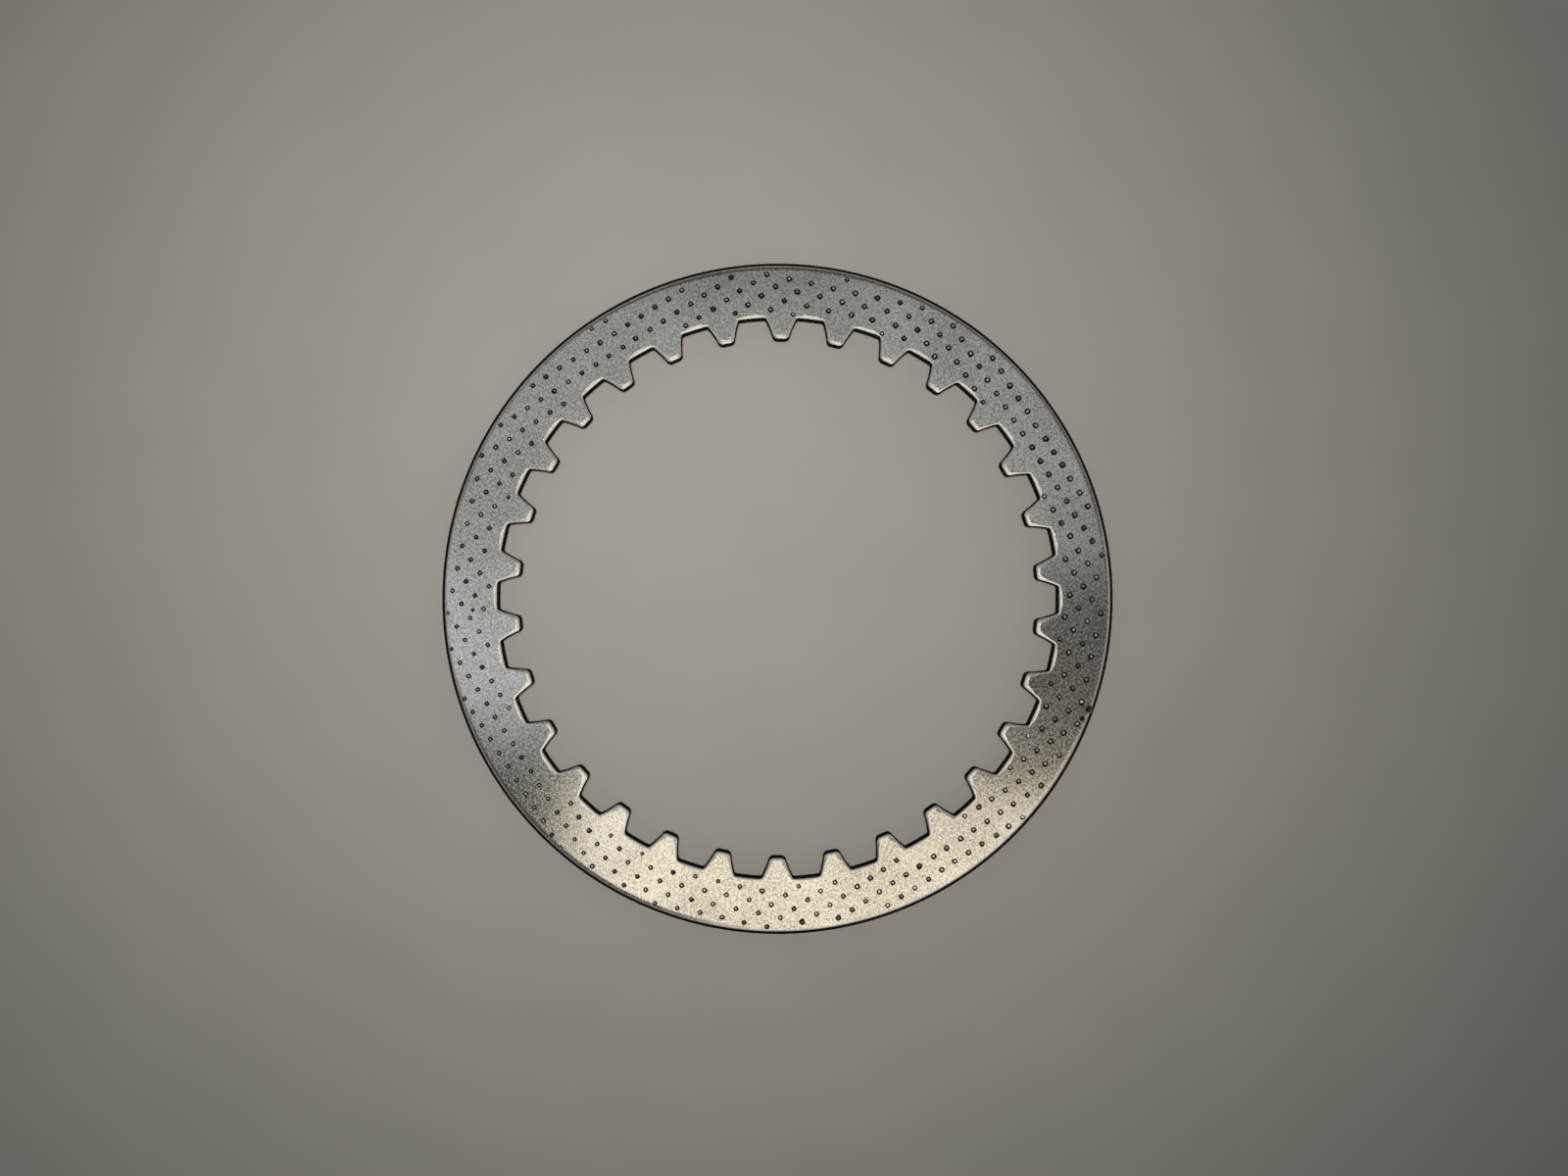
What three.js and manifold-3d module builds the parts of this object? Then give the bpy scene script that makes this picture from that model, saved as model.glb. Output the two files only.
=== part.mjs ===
// Driven (steel) plate of a multi-plate motorcycle clutch: one flat ring, stamped from steel strip,
// with internal involute spline teeth that slide on the clutch hub and a square grid of small
// oil pits coined into both friction faces.
//
// Millimetres, +Z up. The origin is the centre of the bottom face. The Z axis is the axis of
// rotation, +X runs through the middle of a tooth gap and +Y through the middle of a tooth.
import * as THREE from "three";
import { mergeGeometries, mergeVertices } from "three/addons/utils/BufferGeometryUtils.js";
import Module from "manifold-3d";

// ---- Driving dimensions ----
const OUTER_RADIUS = 56; // free outer edge, inside the clutch basket
const THICKNESS = 2;

const TOOTH_COUNT = 30;
const MODULE = 3;
const PRESSURE_ANGLE = THREE.MathUtils.degToRad(20);
const TIP_RADIUS = 43.2; // the teeth point inwards, so the tips lie on the smaller circle
const ROOT_RADIUS = 46.75;
const TOOTH_THICKNESS = 3.72; // along the pitch circle
const TIP_CORNER = 0.75; // length of flank and of tip that each rounded tip corner takes up
const ROOT_CORNER = 0.25; // the same for the sharper corner at the root

const PIT_PITCH = 2.686; // spacing of the square grid of pits
const PIT_GRID_TURN = THREE.MathUtils.degToRad(33.3); // the strip's direction against +X
const PIT_GRID_START = new THREE.Vector2(0.19, 1.18); // the grid point nearest the axis
const PIT_WIDTH = 0.9;
const PIT_DEPTH = 0.16;
// The coining die's ring of pits sat slightly off the plate's centre.
const PIT_RING_CENTRE = new THREE.Vector2(-0.3, -0.3);
const PIT_RING_INNER_RADIUS = 47.7;
const PIT_RING_OUTER_RADIUS = 54.8;

// ---- Fineness of the outline ----
const OUTER_STEPS = 240;
const FLANK_STEPS = 3;
const TIP_CORNER_STEPS = 3;
const ROOT_CORNER_STEPS = 1;
const TIP_LAND_STEPS = 1;
const ROOT_LAND_STEPS = 4;

const wasm = await Module();
wasm.setup();

// A closed three.js geometry as a solid that can be joined and cut.
function toSolid(geometry) {
  const shell = geometry.clone();
  shell.deleteAttribute("normal");
  shell.deleteAttribute("uv");
  const merged = mergeVertices(shell, 1e-4);
  return new wasm.Manifold(
    new wasm.Mesh({
      numProp: 3,
      vertProperties: merged.attributes.position.array,
      triVerts: new Uint32Array(merged.index.array),
    }),
  );
}

function toGeometry(solid) {
  const mesh = solid.getMesh();
  const geometry = new THREE.BufferGeometry();
  geometry.setAttribute("position", new THREE.BufferAttribute(mesh.vertProperties, 3));
  geometry.setIndex(new THREE.BufferAttribute(mesh.triVerts, 1));
  geometry.computeVertexNormals();
  return geometry;
}

const onCircle = (radius, angle) =>
  new THREE.Vector2(radius * Math.cos(angle), radius * Math.sin(angle));

// ---- The tooth outline ----
const PITCH_RADIUS = (MODULE * TOOTH_COUNT) / 2;
const BASE_RADIUS = PITCH_RADIUS * Math.cos(PRESSURE_ANGLE);
const TOOTH_STEP = (2 * Math.PI) / TOOTH_COUNT;

const involute = (angle) => Math.tan(angle) - angle;

// Half of the angle that a tooth covers at a given radius. An internal tooth widens outwards.
function halfTooth(radius) {
  const atPitch = TOOTH_THICKNESS / 2 / PITCH_RADIUS;
  return atPitch + involute(Math.acos(BASE_RADIUS / radius)) - involute(PRESSURE_ANGLE);
}

// Points of one rounded corner, without its last point, which starts the next stretch.
function corner(from, apex, to, steps) {
  return new THREE.QuadraticBezierCurve(from, apex, to).getPoints(steps).slice(0, -1);
}

function arc(radius, from, to, steps) {
  const points = [];
  for (let i = 0; i < steps; i++) {
    points.push(onCircle(radius, THREE.MathUtils.lerp(from, to, i / steps)));
  }
  return points;
}

// One tooth and the root land after it, anticlockwise, around the tooth's centre angle.
function toothOutline(centre) {
  const flankPoint = (radius, side) => onCircle(radius, centre + side * halfTooth(radius));
  const flankRadius = (i) =>
    THREE.MathUtils.lerp(ROOT_RADIUS - ROOT_CORNER, TIP_RADIUS + TIP_CORNER, i / FLANK_STEPS);
  const tipLand = halfTooth(TIP_RADIUS) - TIP_CORNER / TIP_RADIUS;
  const rootLand = halfTooth(ROOT_RADIUS) + ROOT_CORNER / ROOT_RADIUS;

  const points = [];
  points.push(
    ...corner(
      onCircle(ROOT_RADIUS, centre - rootLand),
      flankPoint(ROOT_RADIUS, -1),
      flankPoint(flankRadius(0), -1),
      ROOT_CORNER_STEPS,
    ),
  );
  for (let i = 0; i < FLANK_STEPS; i++) points.push(flankPoint(flankRadius(i), -1));
  points.push(
    ...corner(
      flankPoint(flankRadius(FLANK_STEPS), -1),
      flankPoint(TIP_RADIUS, -1),
      onCircle(TIP_RADIUS, centre - tipLand),
      TIP_CORNER_STEPS,
    ),
    ...arc(TIP_RADIUS, centre - tipLand, centre + tipLand, TIP_LAND_STEPS),
    ...corner(
      onCircle(TIP_RADIUS, centre + tipLand),
      flankPoint(TIP_RADIUS, 1),
      flankPoint(flankRadius(FLANK_STEPS), 1),
      TIP_CORNER_STEPS,
    ),
  );
  for (let i = FLANK_STEPS; i > 0; i--) points.push(flankPoint(flankRadius(i), 1));
  points.push(
    ...corner(
      flankPoint(flankRadius(0), 1),
      flankPoint(ROOT_RADIUS, 1),
      onCircle(ROOT_RADIUS, centre + rootLand),
      ROOT_CORNER_STEPS,
    ),
    ...arc(ROOT_RADIUS, centre + rootLand, centre + TOOTH_STEP - rootLand, ROOT_LAND_STEPS),
  );
  return points;
}

// ---- The stamped blank ----
function blank() {
  const outline = new THREE.Shape(arc(OUTER_RADIUS, 0, 2 * Math.PI, OUTER_STEPS));
  const hole = [];
  for (let i = 0; i < TOOTH_COUNT; i++) hole.push(...toothOutline((i + 0.5) * TOOTH_STEP));
  outline.holes.push(new THREE.Path(hole));
  return new THREE.ExtrudeGeometry(outline, { depth: THICKNESS, bevelEnabled: false });
}

// ---- The oil pits ----
function pitCentres() {
  const centres = [];
  const reach = Math.ceil(OUTER_RADIUS / PIT_PITCH);
  for (let row = -reach; row <= reach; row++) {
    for (let column = -reach; column <= reach; column++) {
      const centre = new THREE.Vector2(column * PIT_PITCH, row * PIT_PITCH)
        .rotateAround(new THREE.Vector2(), PIT_GRID_TURN)
        .add(PIT_GRID_START);
      const radius = centre.distanceTo(PIT_RING_CENTRE);
      if (radius > PIT_RING_INNER_RADIUS && radius < PIT_RING_OUTER_RADIUS) centres.push(centre);
    }
  }
  return centres;
}

// The square punches of one die, with their points up. They reach a little below z = 0, so that
// they break through the face that they are pressed into.
const PUNCH_OVERRUN = 0.04;
function punches() {
  const height = PIT_DEPTH + PUNCH_OVERRUN;
  const halfDiagonal = (((PIT_WIDTH / 2) * height) / PIT_DEPTH) * Math.SQRT2;
  const punch = new THREE.ConeGeometry(halfDiagonal, height, 4)
    .rotateX(Math.PI / 2)
    .rotateZ(PIT_GRID_TURN + Math.PI / 4)
    .translate(0, 0, height / 2 - PUNCH_OVERRUN);
  return mergeGeometries(pitCentres().map(({ x, y }) => punch.clone().translate(x, y, 0)));
}

// ---- The part ----
function clutchPlate() {
  const bottomDie = toSolid(punches());
  const topDie = toSolid(punches()).mirror([0, 0, 1]).translate([0, 0, THICKNESS]);
  return toGeometry(toSolid(blank()).subtract(bottomDie).subtract(topDie));
}

const steel = new THREE.MeshStandardMaterial({ color: 0x9c9a94, roughness: 0.42, metalness: 1 });

const plate = new THREE.Mesh(clutchPlate(), steel);
plate.name = "clutch_steel_plate";

const part = new THREE.Group();
part.add(plate);

export default part;
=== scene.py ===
"""Studio scene of one driven (steel) plate of a motorcycle clutch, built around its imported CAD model.

The plate is one stamping: a flat ring with internal spline teeth, rolled edges where the punch and
die entered the top face, sheared walls, and a grid of coined oil pits on both faces.
"""

import collections
import math
import random

import bmesh
import bpy
from mathutils import Euler, Matrix, Vector


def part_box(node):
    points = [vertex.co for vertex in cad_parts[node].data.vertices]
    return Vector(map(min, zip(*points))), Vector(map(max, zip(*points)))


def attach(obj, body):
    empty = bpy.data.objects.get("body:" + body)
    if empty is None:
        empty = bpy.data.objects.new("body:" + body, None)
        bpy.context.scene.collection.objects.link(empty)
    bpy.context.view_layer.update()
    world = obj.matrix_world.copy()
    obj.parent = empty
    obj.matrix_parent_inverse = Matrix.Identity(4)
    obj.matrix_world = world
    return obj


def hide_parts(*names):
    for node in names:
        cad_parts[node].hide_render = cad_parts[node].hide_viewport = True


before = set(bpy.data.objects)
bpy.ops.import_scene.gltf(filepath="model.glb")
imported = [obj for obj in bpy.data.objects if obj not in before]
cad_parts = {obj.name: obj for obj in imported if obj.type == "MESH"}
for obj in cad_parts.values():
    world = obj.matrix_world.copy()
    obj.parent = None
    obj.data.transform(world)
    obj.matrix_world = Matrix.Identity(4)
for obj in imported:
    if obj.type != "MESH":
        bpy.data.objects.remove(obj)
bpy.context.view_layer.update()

# ---- Sizes of the plate, in millimetres, in the frame of the CAD model ----
MM = 0.001
NODE = "clutch_steel_plate"
low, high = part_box(NODE)
OUTER_RADIUS = (high.x - low.x) / 2 / MM
THICKNESS = (high.z - low.z) / MM

# Internal involute spline, as in the CAD model
TOOTH_COUNT = 30
TOOTH_STEP = math.tau / TOOTH_COUNT
PITCH_RADIUS = 45.0
PRESSURE_ANGLE = math.radians(20)
BASE_RADIUS = PITCH_RADIUS * math.cos(PRESSURE_ANGLE)
TOOTH_THICKNESS = 3.72
TIP_RADIUS = 43.2
ROOT_RADIUS = 46.75
TIP_CORNER = 0.75
ROOT_CORNER = 0.25

# Oil pits, as in the CAD model
PIT_PITCH = 2.686
PIT_GRID_TURN = math.radians(33.3)
PIT_GRID_START = Vector((0.19, 1.18))
PIT_RING_CENTRE = Vector((-0.3, -0.3))
PIT_RING_INNER_RADIUS = 47.7
PIT_RING_OUTER_RADIUS = 54.8

# Shape of one pit's punch: half width and depth, from above the face, through the lip, to the tip
PIT_SIDES = 12
PIT_PROFILE = ((0.62, -0.12), (0.41, 0.0), (0.28, 0.085), (0.18, 0.115), (0.08, 0.13))
PIT_SQUARENESS = 0.07
PIT_FADE = 0.5  # pits this close to a limit of the pitted ring are struck less deep
FAINT_STRIKE = 0.6
STRIKE_FORCES = (0.8, 1.08)
STRIKE_LEAN = math.radians(3)
WEAKEST_WIDTH = 0.6  # width that a strike without force would have, against a full one
PIT_WIDENING = 1.16
PIT_WIDENING_DRIFT = Vector((0.0026, 0.0010))  # change of the widening per millimetre
TOP_SEED, BOTTOM_SEED = 3, 4

# Rolled band of the top face's toothed edge
FLANK_ROLL = 0.55
ROOT_ROLL = 0.9
ROOT_ROLL_END = 4 / 9  # share of half a root land that has the full root roll
ARC_ROLL_START = 3 / 8  # share of a flank before its roll turns towards the tip's arc
TIP_FLAT_CENTRE = Vector((44.95, 0))  # the flat of each tooth ends in an arc about this point
TIP_FLAT_RADIUS = 0.75
ROLL_DROP = 0.15  # depth against width
ROLL_POWER = 2.5
ROLL_STEPS = 6
EDGE_RADIUS = 0.14  # between the rolled band and the wall

# Outer edge
OUTER_SEGMENTS = 360
OUTER_ROLL = 1.5
OUTER_ROLL_DROP = 0.5
OUTER_ROLL_POWER = 3.2
OUTER_ROLL_STEPS = 12

# Walls and bottom edges
SHEAR_LINE = 1.1  # height where the smooth sheared wall ends and the torn wall begins
SHEAR_LINE_HEIGHT = 0.05
SHEAR_LINE_SETBACK = 0.014
TORN_SETBACK = 0.02
BURR_CORNER = 0.07  # rounding of the bottom edges, left by tumbling
BURR_MIDDLE = 0.3  # where the rounding's middle lies, as a share of the corner

STEEL, WALL, PIT = 0, 1, 2  # material slots of the plate

# Dark marks on the top face: place and reach
STAINS = (((51.9, -18.3), 1.1), ((50.8, -19.9), 0.7), ((-50.8, -2.4), 0.6))

# Where painted shade darkens the faces towards the outer edge, and where the very edge is painted
# black, as radii
RIM_PAINTED_SHADE = (54.9, 55.7)
EDGE_PAINTED_BLACK = (55.2, 55.5)

# Mesh work
WELD = 0.001  # teeth meet within this
SAME_HEIGHT = 1e-5
SMALLEST_EDGE = 0.001
LEVEL_FACE = 0.9999  # upward part of a face's normal
LEVEL_FACE_WEIGHT = 1e6


# ---- Outline of the teeth ----
def involute(angle):
    return math.tan(angle) - angle


def half_tooth(radius):
    """Half of the angle that a tooth covers at a radius."""
    at_radius = involute(math.acos(BASE_RADIUS / radius))
    return TOOTH_THICKNESS / 2 / PITCH_RADIUS + at_radius - involute(PRESSURE_ANGLE)


def polar(radius, angle):
    return Vector((radius * math.cos(angle), radius * math.sin(angle)))


def mix(a, b, share):
    return a + (b - a) * share


def beyond(share, start):
    """How far share is on its way from start to 1."""
    return (share - start) / (1 - start)


def ease(share):
    share = min(max(share, 0.0), 1.0)
    return share * share * (3 - 2 * share)


def rounded(start, apex, end, steps):
    """Points of a rounded corner, without its end."""
    shares = [i / steps for i in range(steps)]
    return [start * (1 - t) ** 2 + apex * 2 * t * (1 - t) + end * t**2 for t in shares]


class EdgePoint:
    """A point of an outline seen from above, with the way into the metal and the roll width."""

    def __init__(self, place, inwards=Vector((0, 0)), roll=0.0):
        self.place, self.inwards, self.roll = place, inwards, roll

    def at(self, setback, height):
        return (self.place + self.inwards * setback).to_3d() + Vector((0, 0, height))


def half_outline():
    """From the middle of a root land to the middle of the tip after it, at angle 0.
    Each entry is a point, the roll width there, and how much its roll runs to the tip's arc."""
    land_end = -half_tooth(ROOT_RADIUS) - ROOT_CORNER / ROOT_RADIUS
    tip_start = -half_tooth(TIP_RADIUS) + TIP_CORNER / TIP_RADIUS

    def flank(radius):
        return polar(radius, -half_tooth(radius))

    outline = []
    land_steps, root_steps, flank_steps, tip_steps = 7, 3, 8, 6
    for i in range(land_steps):
        share = i / land_steps
        width = mix(ROOT_ROLL, FLANK_ROLL, ease(beyond(share, ROOT_ROLL_END)))
        outline.append((polar(ROOT_RADIUS, mix(-TOOTH_STEP / 2, land_end, share)), width, 0))
    flank_foot = flank(ROOT_RADIUS - ROOT_CORNER)
    for p in rounded(polar(ROOT_RADIUS, land_end), flank(ROOT_RADIUS), flank_foot, root_steps):
        outline.append((p, FLANK_ROLL, 0))
    for i in range(flank_steps):
        share = i / flank_steps
        radius = mix(ROOT_RADIUS - ROOT_CORNER, TIP_RADIUS + TIP_CORNER, share)
        outline.append((flank(radius), FLANK_ROLL, ease(beyond(share, ARC_ROLL_START))))
    tip_end = polar(TIP_RADIUS, tip_start)
    shoulder = rounded(flank(TIP_RADIUS + TIP_CORNER), flank(TIP_RADIUS), tip_end, tip_steps)
    for p in [*shoulder, tip_end, polar(TIP_RADIUS, tip_start / 2), polar(TIP_RADIUS, 0)]:
        outline.append((p, FLANK_ROLL, 1))
    return outline


def tooth_points():
    """Edge points of one tooth, from the middle of one root land to the middle of the next."""
    half = half_outline()
    outline = half + [(Vector((p.x, -p.y)), width, tip) for p, width, tip in reversed(half[:-1])]
    turn = Matrix.Rotation(TOOTH_STEP, 2)
    places = [turn.inverted() @ outline[-2][0], *(entry[0] for entry in outline), turn @ outline[1][0]]
    points = []
    for i, (place, width, tip) in enumerate(outline):
        along = (places[i + 2] - places[i]).normalized()
        to_flat = Vector((along.y, -along.x)) * width
        to_arc = TIP_FLAT_CENTRE - place
        to_arc *= 1 - TIP_FLAT_RADIUS / to_arc.length
        way = mix(to_flat, to_arc, tip)
        points.append(EdgePoint(place, way.normalized(), way.length))
    return points


# ---- Cross-sections of the two edges, each from the top face down to the bottom face ----
def tooth_levels():
    levels = []
    for i in range(ROLL_STEPS + 1):
        share = i / ROLL_STEPS

        def roll(point, share=share):
            setback = mix(point.roll, EDGE_RADIUS, share)
            return point.at(setback, THICKNESS - ROLL_DROP * point.roll * share**ROLL_POWER)

        levels.append((roll, STEEL))

    def under_roll(point):
        return point.at(0, THICKNESS - ROLL_DROP * point.roll - EDGE_RADIUS)

    return levels + [(under_roll, WALL)] + wall_levels()


def outer_levels():
    levels = []
    for i in range(OUTER_ROLL_STEPS + 1):
        share = math.sin(math.pi / 2 * i / OUTER_ROLL_STEPS)
        drop = OUTER_ROLL_DROP * (1 - math.sqrt(1 - share**OUTER_ROLL_POWER))

        def roll(point, setback=OUTER_ROLL * (1 - share), drop=drop):
            return point.at(setback, THICKNESS - drop)

        levels.append((roll, STEEL))
    return levels + wall_levels()


def wall_levels():
    """The smooth sheared wall, the torn wall under it, and the tumbled bottom edge."""
    section = (
        (0, SHEAR_LINE),
        (SHEAR_LINE_SETBACK, SHEAR_LINE - SHEAR_LINE_HEIGHT),
        (TORN_SETBACK, BURR_CORNER),
        (TORN_SETBACK + BURR_CORNER * BURR_MIDDLE, BURR_CORNER * BURR_MIDDLE),
        (TORN_SETBACK + BURR_CORNER, 0),
    )
    return [(lambda point, s=setback, h=height: point.at(s, h), WALL) for setback, height in section]


# ---- Mesh work ----
def sweep(bm, chain, points, levels):
    """Puts a chain of edges at the first level and extrudes it through the others.
    points gives each of its vertices its edge point."""
    (start, _), *rest = levels
    for v, point in points.items():
        v.co = start(point)
    for place, slot in rest:
        made = bmesh.ops.extrude_edge_only(bm, edges=chain)["geom"]
        fresh = {}
        for v in (g for g in made if isinstance(g, bmesh.types.BMVert)):
            source = next(e.other_vert(v) for e in v.link_edges if e.other_vert(v) in points)
            fresh[v] = points[source]
        for v, point in fresh.items():
            v.co = place(point)
        for face in (g for g in made if isinstance(g, bmesh.types.BMFace)):
            face.material_index = slot
        edges = [g for g in made if isinstance(g, bmesh.types.BMEdge)]
        chain = [e for e in edges if all(v in fresh for v in e.verts)]
        points = fresh


def add_toothed_edge(bm):
    """One tooth's edge, turned into all of them."""
    points = tooth_points()
    verts = [bm.verts.new(p.place.to_3d()) for p in points]
    chain = [bm.edges.new(pair) for pair in zip(verts, verts[1:])]
    sweep(bm, chain, dict(zip(verts, points)), tooth_levels())
    everything = bm.verts[:] + bm.edges[:] + bm.faces[:]
    bmesh.ops.rotate(bm, matrix=Matrix.Rotation(TOOTH_STEP / 2, 3, "Z"), verts=bm.verts)
    bmesh.ops.spin(
        bm,
        geom=everything,
        axis=(0, 0, 1),
        angle=math.tau - TOOTH_STEP,
        steps=TOOTH_COUNT - 1,
        use_duplicate=True,
    )
    bmesh.ops.remove_doubles(bm, verts=bm.verts, dist=WELD)


def add_outer_edge(bm):
    verts = bmesh.ops.create_circle(bm, segments=OUTER_SEGMENTS, radius=OUTER_RADIUS)["verts"]
    chain = list({e for v in verts for e in v.link_edges})
    points = {v: EdgePoint(v.co.xy, -v.co.xy.normalized()) for v in verts}
    sweep(bm, chain, points, outer_levels())


def add_flat_face(bm, height):
    """Closes the plate at a height, between its toothed edge and its outer edge."""

    def here(edge):
        return all(abs(v.co.z - height) < SAME_HEIGHT for v in edge.verts)

    rims = [e for e in bm.edges if e.is_boundary and here(e)]
    faces = bmesh.ops.bridge_loops(bm, edges=rims)["faces"]
    for face in faces:
        face.material_index = STEEL


def finish_mesh(bm, name):
    """Turns the faces outwards, scales to metres and makes the mesh."""
    bmesh.ops.recalc_face_normals(bm, faces=bm.faces)
    for face in bm.faces:
        face.smooth = True
    bmesh.ops.scale(bm, vec=(MM, MM, MM), verts=bm.verts)
    mesh = bpy.data.meshes.new(name)
    bm.to_mesh(mesh)
    bm.free()
    return mesh


def add_object(name, data):
    made = bpy.data.objects.new(name, data)
    bpy.context.collection.objects.link(made)
    return made


def blank_mesh():
    """The plate before its pits are struck."""
    bm = bmesh.new()
    add_toothed_edge(bm)
    add_outer_edge(bm)
    add_flat_face(bm, THICKNESS)
    add_flat_face(bm, 0)
    return finish_mesh(bm, "steel_plate")


def punch_mesh():
    """The punch of one pit as a closed solid, at full force, with the struck face at height 0."""
    bm = bmesh.new()
    verts = bmesh.ops.create_circle(bm, segments=PIT_SIDES, radius=1)["verts"]
    chain = list({e for v in verts for e in v.link_edges})
    points = {}
    for v in verts:
        angle = math.atan2(v.co.y, v.co.x) + math.pi / PIT_SIDES
        bulge = 1 - PIT_SQUARENESS * math.cos(4 * angle)
        points[v] = polar(bulge, angle)
    levels = [
        (lambda way, width=width, depth=depth: (way * width).to_3d() - Vector((0, 0, depth)), PIT)
        for width, depth in PIT_PROFILE
    ]
    sweep(bm, chain, points, levels)
    bmesh.ops.holes_fill(bm, edges=bm.edges, sides=PIT_SIDES)
    for face in bm.faces:
        face.material_index = PIT
    return finish_mesh(bm, "pit_punch")


def pit_strikes(seed):
    """The centre of each pit, and the lean and size of its strike as one matrix."""
    hand = random.Random(seed)
    reach = math.ceil(OUTER_RADIUS / PIT_PITCH)
    turn = Matrix.Rotation(PIT_GRID_TURN, 2)
    strikes = []
    for row in range(-reach, reach + 1):
        for column in range(-reach, reach + 1):
            centre = turn @ Vector((column, row)) * PIT_PITCH + PIT_GRID_START
            radius = (centre - PIT_RING_CENTRE).length
            room = min(radius - PIT_RING_INNER_RADIUS, PIT_RING_OUTER_RADIUS - radius)
            if room <= 0:
                continue
            force = mix(FAINT_STRIKE, 1, ease(room / PIT_FADE)) * hand.uniform(*STRIKE_FORCES)
            lean = Euler((hand.gauss(0, STRIKE_LEAN), hand.gauss(0, STRIKE_LEAN), 0))
            widening = PIT_WIDENING + PIT_WIDENING_DRIFT.dot(centre)
            width = mix(WEAKEST_WIDTH, 1, force) * widening
            shape = Matrix.Diagonal((width, width, force, 1))
            strikes.append((centre, lean.to_matrix().to_4x4() @ shape))
    return strikes


def all_punches():
    """The punches of both faces, where they strike."""
    punch = punch_mesh()
    turn = Matrix.Rotation(PIT_GRID_TURN, 4, "Z")
    over = Matrix.Rotation(math.pi, 4, "X")
    bm = bmesh.new()
    sides = ((THICKNESS, Matrix.Identity(4), TOP_SEED), (0, over, BOTTOM_SEED))
    for height, facing, seed in sides:
        for centre, strike in pit_strikes(seed):
            place = Matrix.Translation(Vector((centre.x, centre.y, height)) * MM)
            struck = punch.copy()
            struck.transform(place @ turn @ facing @ strike)
            bm.from_mesh(struck)
            bpy.data.meshes.remove(struck)
    punches = bpy.data.meshes.new("punches")
    bm.to_mesh(punches)
    bm.free()
    return punches


def keep_faces_true(mesh):
    """Gives each corner the direction of its larger faces, and of a flat face where it has one.
    The lips of the pits stay sharp."""
    sums = collections.defaultdict(Vector)
    for face in mesh.polygons:
        level = abs(face.normal.z) > LEVEL_FACE
        weight = face.area * (LEVEL_FACE_WEIGHT if level else 1)
        for i in face.vertices:
            sums[i, face.material_index == PIT] += face.normal * weight
    corners = [(i, face.material_index == PIT) for face in mesh.polygons for i in face.vertices]
    mesh.normals_split_custom_set([sums[corner].normalized() for corner in corners])


def strike_pits(plate):
    """Cuts the pits into the plate with all the punches at once."""
    punches = add_object("punches", all_punches())
    strike = plate.modifiers.new("strike", "BOOLEAN")
    strike.object = punches
    strike.operation = "DIFFERENCE"
    strike.solver = "MANIFOLD"
    struck = plate.evaluated_get(bpy.context.evaluated_depsgraph_get())
    bm = bmesh.new()
    bm.from_mesh(struck.data)
    plate.modifiers.remove(strike)
    bpy.data.objects.remove(punches)
    bmesh.ops.dissolve_degenerate(bm, dist=SMALLEST_EDGE * MM, edges=bm.edges)
    bm.to_mesh(plate.data)
    bm.free()


def build_plate():
    plate = add_object("steel_plate", blank_mesh())
    strike_pits(plate)
    keep_faces_true(plate.data)
    for material in (tumbled_steel(), sheared_steel(), coined_steel()):
        plate.data.materials.append(material)
    return plate


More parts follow.
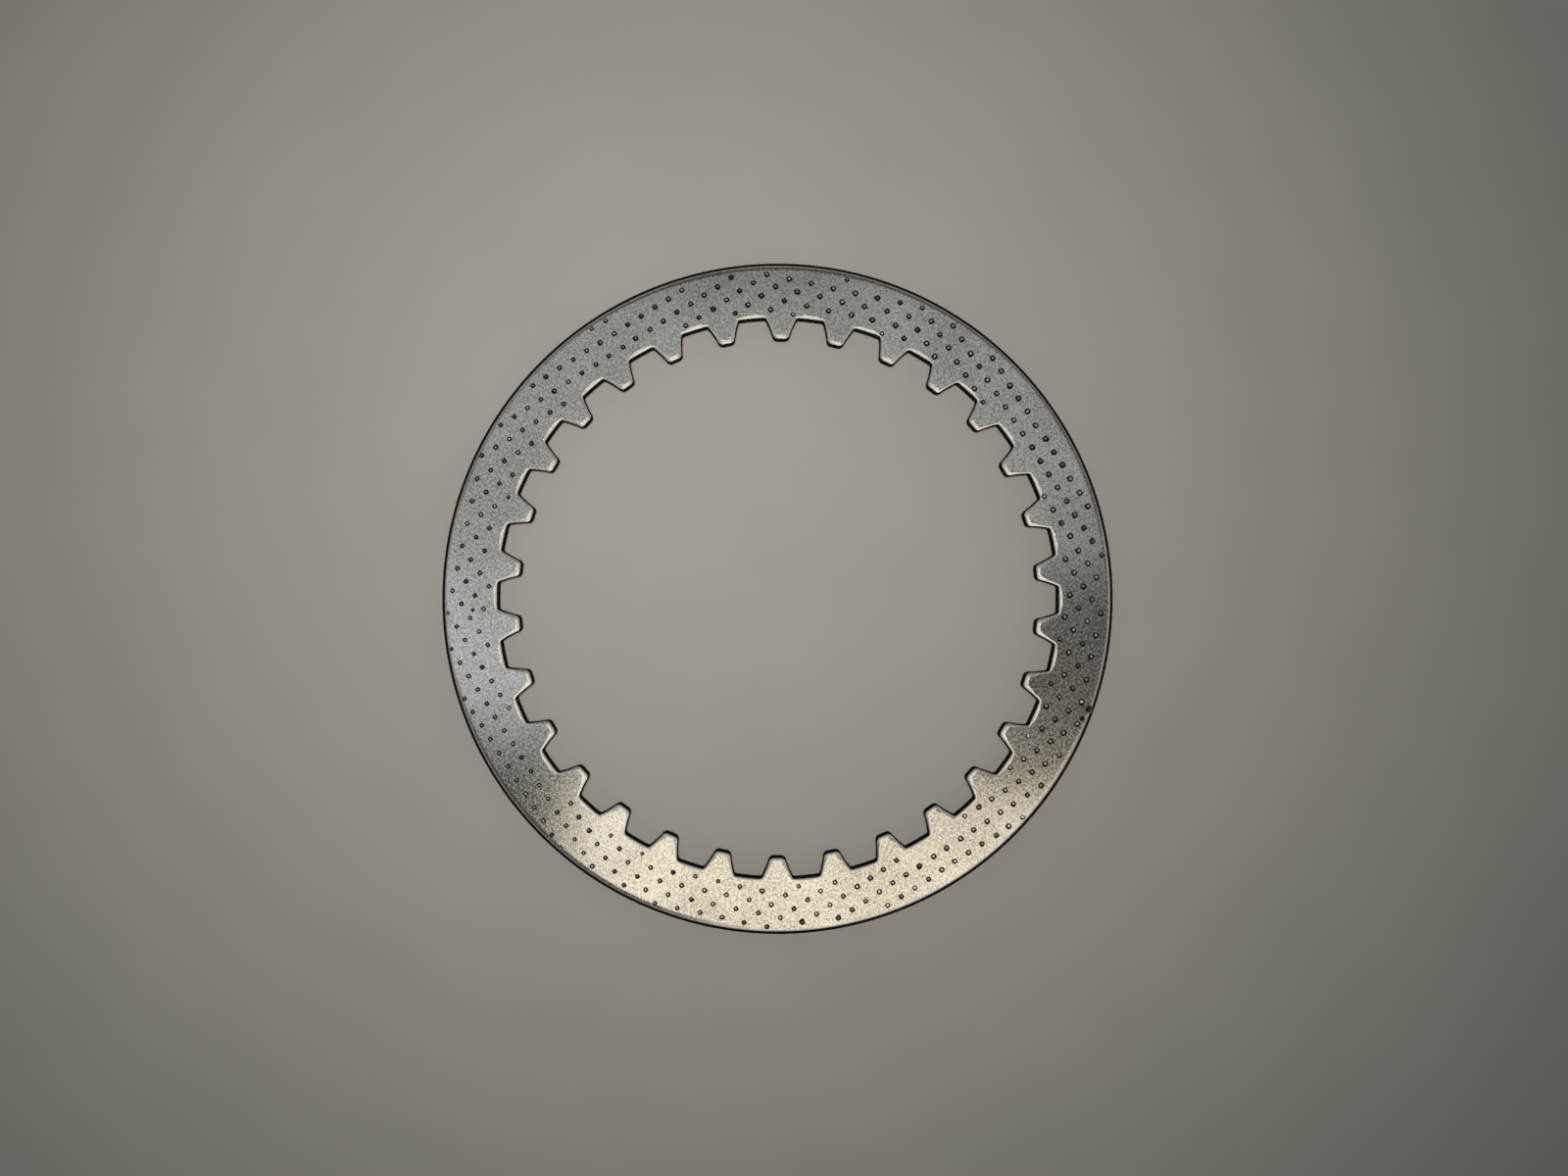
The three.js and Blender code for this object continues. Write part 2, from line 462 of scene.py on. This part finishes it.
# ---- Materials ----
class Nodes:
    """Short calls for building the node tree of a material or of the world."""

    def __init__(self, owner, shader="Principled BSDF"):
        owner.use_nodes = True
        self.owner = owner
        self.tree = owner.node_tree
        self.shader = self.tree.nodes[shader]
        self.coordinates = self.tree.nodes.new("ShaderNodeTexCoord").outputs
        self.place = self.coordinates["Object"]

    def add(self, kind, inputs=(), **settings):
        node = self.tree.nodes.new("ShaderNode" + kind)
        for name, value in settings.items():
            setattr(node, name, value)
        for name, value in dict(inputs).items():
            self.put(node.inputs[name], value)
        return node

    def put(self, socket, value):
        if isinstance(value, bpy.types.NodeSocket):
            self.tree.links.new(value, socket)
        else:
            socket.default_value = value

    def noise(self, cell, detail=2.0, stretch=(1, 1, 1), roughness=0.5):
        """Noise about 0.5 whose cells are about cell millimetres across, times stretch."""
        scale = [1 / (cell * MM) / s for s in stretch]
        mapped = self.add("Mapping", {"Vector": self.place, "Scale": scale})
        inputs = {"Vector": mapped.outputs[0], "Scale": 1.0, "Detail": detail, "Roughness": roughness}
        return self.add("TexNoise", inputs).outputs["Fac"]

    def level(self):
        """1 where the surface is level, and 0 where it is upright."""
        parts = self.add("SeparateXYZ", {0: self.coordinates["Normal"]}).outputs
        return self.maths("ABSOLUTE", parts["Z"])

    def maths(self, operation, a, b=0.0):
        return self.add("Math", {0: a, 1: b}, operation=operation).outputs[0]

    def sum(self, *values):
        total = values[0]
        for value in values[1:]:
            total = self.maths("ADD", total, value)
        return total

    def outwards(self, start, end):
        """Rises from 0 to 1 between two distances from the plate's axis, in millimetres."""
        flat = self.add("VectorMath", {0: self.place, 1: (1, 1, 0)}, operation="MULTIPLY")
        radius = self.add("VectorMath", {0: flat.outputs[0]}, operation="LENGTH")
        return self.remap(radius.outputs["Value"], start * MM, end * MM, 0, 1)

    def spread(self, noise, width, low=0.0, high=1.0):
        """Noise stretched from low to high over a width about its middle."""
        return self.remap(noise, 0.5 - width / 2, 0.5 + width / 2, low, high)

    def stain(self, place, reach):
        """A broken dark mark about a place on the plate, both in millimetres."""
        middle = Vector((*place, THICKNESS)) * MM
        distance = self.add("VectorMath", {0: self.place, 1: middle}, operation="DISTANCE")
        near = self.remap(distance.outputs["Value"], reach * MM, 0, 0, 1)
        return self.remap(self.sum(near, self.noise(0.25, detail=2)), 0.85, 1.0, 0, 1)

    def remap(self, value, from_low, from_high, to_low, to_high):
        ends = {"From Min": from_low, "From Max": from_high, "To Min": to_low, "To Max": to_high}
        return self.add("MapRange", {"Value": value, **ends}).outputs[0]

    def mix_colours(self, share, a, b):
        node = self.add("Mix", {"Factor": share}, data_type="RGBA")
        colour_a, colour_b = 6, 7  # the colour sockets share their names with the number sockets
        self.put(node.inputs[colour_a], a)
        self.put(node.inputs[colour_b], b)
        return node.outputs[2]

    def bump(self, height, depth, normal=None):
        """Bumps of a depth in millimetres."""
        inputs = {"Height": height, "Distance": depth * MM, "Strength": 1.0}
        if normal is not None:
            inputs["Normal"] = normal
        return self.add("Bump", inputs).outputs[0]

    def finish(self, **values):
        """Sets inputs of the shader, and returns the material or the world."""
        for name, value in values.items():
            self.put(self.shader.inputs[name.replace("_", " ")], value)
        return self.owner


def new_material(name):
    return Nodes(bpy.data.materials.new(name))


def tumbled_steel():
    """Satin faces: a mottled grain from tumbling over faint grinding lines. The rolled edges, which
    tumbling reached most, are paler and more matte. Towards the outer edge the faces are darkened by
    painted shade, and the very edge is painted black, without reflection, as painted shade."""
    n = new_material("tumbled_faces")
    dark_film, bare_steel = (0.17, 0.16, 0.15, 1), (1.0, 0.995, 0.98, 1)
    # Painted shade: the rim colour darkens the outer rim, and the edge colour paints the very edge
    # black.
    rolled_steel, rim_painted_shade = (0.84, 0.84, 0.83, 1), (0.22, 0.216, 0.21, 1)
    painted_black_edge, stain_brown = (0.004, 0.004, 0.004, 1), (0.05, 0.04, 0.035, 1)

    mottle = n.noise(0.4, detail=2, roughness=0.6)
    lines = n.noise(0.18, detail=2, stretch=(1, 9, 1))
    film = n.sum(
        n.spread(n.noise(12, detail=3), 0.3, high=0.15),
        n.spread(mottle, 0.24, high=0.4),
        n.spread(n.noise(0.19, detail=1), 0.32, high=0.3),
        n.spread(lines, 0.4, high=0.15),
    )
    rolled = n.remap(n.level(), 0.999, 0.97, 0, 1)
    # Painted shade: darker towards the outer edge, then painted black at the very edge.
    rim = n.outwards(*RIM_PAINTED_SHADE)
    edge = n.outwards(*EDGE_PAINTED_BLACK)
    within = n.maths("SUBTRACT", 1.0, edge)

    colour = n.mix_colours(film, dark_film, bare_steel)
    colour = n.mix_colours(n.maths("MULTIPLY", rolled, 0.8), colour, rolled_steel)
    colour = n.mix_colours(n.maths("MULTIPLY", rim, 0.8), colour, rim_painted_shade)
    colour = n.mix_colours(edge, colour, painted_black_edge)
    for place, reach in STAINS:
        colour = n.mix_colours(n.stain(place, reach), colour, stain_brown)

    return n.finish(
        Base_Color=colour,
        # The painted black edge is made unreflecting, with no metal and no specular there: painted
        # shade.
        Metallic=n.maths("MULTIPLY", within, 0.955),
        Specular_IOR_Level=n.maths("MULTIPLY", within, 0.5),
        Roughness=n.sum(n.spread(mottle, 0.4, 0.12, 0.20), n.maths("MULTIPLY", rolled, 0.18)),
        Normal=n.bump(lines, 0.003, n.bump(mottle, 0.003)),
    )


def sheared_steel():
    """Walls that the punch cut: dark, partly from their own sheared finish and partly from painted
    shade, with upright drag marks, and painted darkest at the rounded corners as painted shade.
    """
    n = new_material("sheared_walls")
    # The dark wall tones are partly the sheared steel's own finish and partly painted shade; the corner
    # black is painted shade.
    dull_and_shaded, clean, corner_painted_shade = (0.05, 0.048, 0.046, 1), (0.14, 0.136, 0.13, 1), (0.02, 0.019, 0.018, 1)
    drag = n.noise(0.18, detail=2, stretch=(1, 1, 14))
    # Painted shade: black where the wall rounds into a face.
    corner = n.remap(n.level(), 0.2, 0.4, 0, 1)
    return n.finish(
        Base_Color=n.mix_colours(corner, n.mix_colours(n.spread(drag, 0.4), dull_and_shaded, clean), corner_painted_shade),
        Metallic=1.0,
        Specular_Tint=(0.05, 0.05, 0.05, 1),
        Roughness=n.spread(drag, 0.4, 0.26, 0.42),
        Normal=n.bump(drag, 0.01),
    )


def coined_steel():
    """Inside the pits: pressed bright at the bottom, painted black on the slopes as painted shade, and
    soiled in some pits.
    """
    n = new_material("coined_pits")
    # Painted shade: the slope colour and the slope tint paint the pit slopes black and dim their
    # reflection.
    slope_painted_shade, soiled, bright = (0.03, 0.028, 0.026, 1), (0.16, 0.145, 0.12, 1), (0.85, 0.84, 0.82, 1)
    slope_shade_tint, white = (0.1, 0.1, 0.1, 1), (1, 1, 1, 1)
    soil = n.noise(1.6, detail=3)
    bottom = n.remap(n.level(), 0.974, 0.993, 0, 1)
    pressed = n.mix_colours(n.spread(soil, 0.2, 1, 0), soiled, bright)
    return n.finish(
        # Painted shade on the slopes, the pit's own finish at the bottom.
        Base_Color=n.mix_colours(bottom, slope_painted_shade, pressed),
        Metallic=1.0,
        Specular_Tint=n.mix_colours(bottom, slope_shade_tint, white),
        Roughness=n.spread(soil, 0.4, 0.14, 0.30),
        Normal=n.bump(soil, 0.006),
    )


def matte_board():
    """The floor: a board painted paler away from the plate, as painted light that keeps the floor
    bright beyond the light pool.
    """
    n = new_material("matte_board")
    near = n.mix_colours(n.noise(20, detail=4), (0.195, 0.192, 0.185, 1), (0.215, 0.211, 0.204, 1))
    return n.finish(
        # Painted light: the floor turns pale beyond the light pool, from 165 mm to 450 mm out.
        Base_Color=n.mix_colours(n.outwards(165, 450), near, (0.90, 0.89, 0.87, 1)),
        Roughness=0.7,
        Specular_IOR_Level=0.2,
    )


# ---- Stage, light and camera, in metres ----
FLOOR_SIDE = 30.0
FLOOR_GAP = 0.00003  # keeps the floor off the plate's bottom face
PANEL_HEIGHT = 0.6
CEILING_ENDS, WALLS_START = math.radians(52), math.radians(62)  # from straight up
CEILING_GLOW = 0.012
WALL_GLOWS = (0.5, 0.8)  # at -X and at +X

CAMERA_PLACE = Vector((-2.07, -0.28, THICKNESS + 181.3)) * MM
CAMERA_WAY = Vector((0.0158, 0.0105, -0.9998))
CAMERA_ROLL = math.radians(0.4)
LENS, SENSOR_WIDTH = 24.98, 36


def build_floor():
    bm = bmesh.new()
    bmesh.ops.create_grid(bm, x_segments=1, y_segments=1, size=FLOOR_SIDE / 2)
    mesh = bpy.data.meshes.new("floor")
    bm.to_mesh(mesh)
    bm.free()
    floor = add_object("floor", mesh)
    floor.location.z = low.z - FLOOR_GAP
    floor.data.materials.append(matte_board())


def add_light(name, kind, place, colour):
    light = bpy.data.lights.new(name, kind)
    light.color = colour
    lamp = add_object(name, light)
    lamp.location = place
    lamp.visible_camera = False
    return lamp


def add_panel(name, x_limits, y_limits, glow, colour):
    """A flat panel of light that faces down and that only the steel mirrors. glow is its radiance."""
    (left, right), (front, back) = x_limits, y_limits
    lamp = add_light(name, "AREA", ((left + right) / 2, (front + back) / 2, PANEL_HEIGHT), colour)
    lamp.data.shape = "RECTANGLE"
    lamp.data.size, lamp.data.size_y = right - left, back - front
    lamp.data.energy = glow * math.pi * (right - left) * (back - front)
    lamp.visible_diffuse = False


def build_lights():
    add_panel("warm_key", (-0.05, 0.36), (-0.37, -0.137), 1.25, (1.0, 0.90, 0.69))
    add_panel("warm_side", (-0.143, -0.05), (-0.25, -0.137), 1.6, (1.0, 0.92, 0.72))
    add_panel("overhead", (-0.11, 0.12), (-0.137, 0.085), 1.15, (1.0, 0.95, 0.84))
    add_panel("front_low", (-0.10, 0.40), (-0.62, -0.37), 1.3, (1.0, 0.98, 0.95))
    add_panel("back_fill", (-0.30, 0.265), (0.02, 0.245), 0.40, (0.98, 1.0, 0.94))
    add_panel("cool_left", (-0.42, -0.12), (-0.10, 0.09), 0.64, (0.96, 1.0, 0.99))
    add_panel("right_rim", (0.35, 0.64), (-0.14, 0.10), 0.6, (1.0, 1.0, 1.0))
    add_panel("right_low", (0.12, 0.29), (-0.12, 0.01), 0.05, (1.0, 0.85, 0.75))

    # Even light, and a pool of light about the plate, which the steel doesn't mirror
    sun = add_light("floor_sun", "SUN", (0, 0, 2), (1.0, 0.97, 0.91))
    sun.data.angle = math.radians(70)
    sun.data.energy = 0.15
    pool = add_light("floor_pool", "SPOT", (-0.02, 0.03, 0.9), (1.0, 0.955, 0.84))
    pool.data.spot_size = math.radians(22.8)
    pool.data.spot_blend = 1.0
    pool.data.shadow_soft_size = 0.12
    pool.data.energy = 58
    for lamp in (sun, pool):
        lamp.visible_glossy = False


def build_backdrop():
    """A dark ceiling over pale studio walls."""
    world = bpy.data.worlds.new("studio")
    n = Nodes(world, "Background")
    direction = n.add("SeparateXYZ", {0: n.coordinates["Generated"]}).outputs
    wall = n.remap(direction["Z"], math.cos(CEILING_ENDS), math.cos(WALLS_START), 0, 1)
    glow = n.maths("MULTIPLY", wall, n.remap(direction["X"], -1, 1, *WALL_GLOWS))
    bpy.context.scene.world = n.finish(Color=(1.0, 0.98, 0.95, 1), Strength=n.sum(glow, CEILING_GLOW))


def build_camera():
    """Straight above the plate, within a degree."""
    data = bpy.data.cameras.new("camera")
    data.lens, data.sensor_width = LENS, SENSOR_WIDTH
    data.clip_start = 0.001
    camera = add_object("camera", data)
    camera.location = CAMERA_PLACE
    back = -CAMERA_WAY.normalized()
    right = Vector((0, 1, 0)).cross(back).normalized()
    upright = Matrix((right, back.cross(right), back)).transposed()
    camera.rotation_euler = (upright @ Matrix.Rotation(CAMERA_ROLL, 3, "Z")).to_euler()
    bpy.context.scene.camera = camera


build_camera()
build_floor()
build_lights()
build_backdrop()

plate = build_plate()
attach(plate, "root")
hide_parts(NODE)

bpy.context.scene.view_settings.view_transform = "Standard"
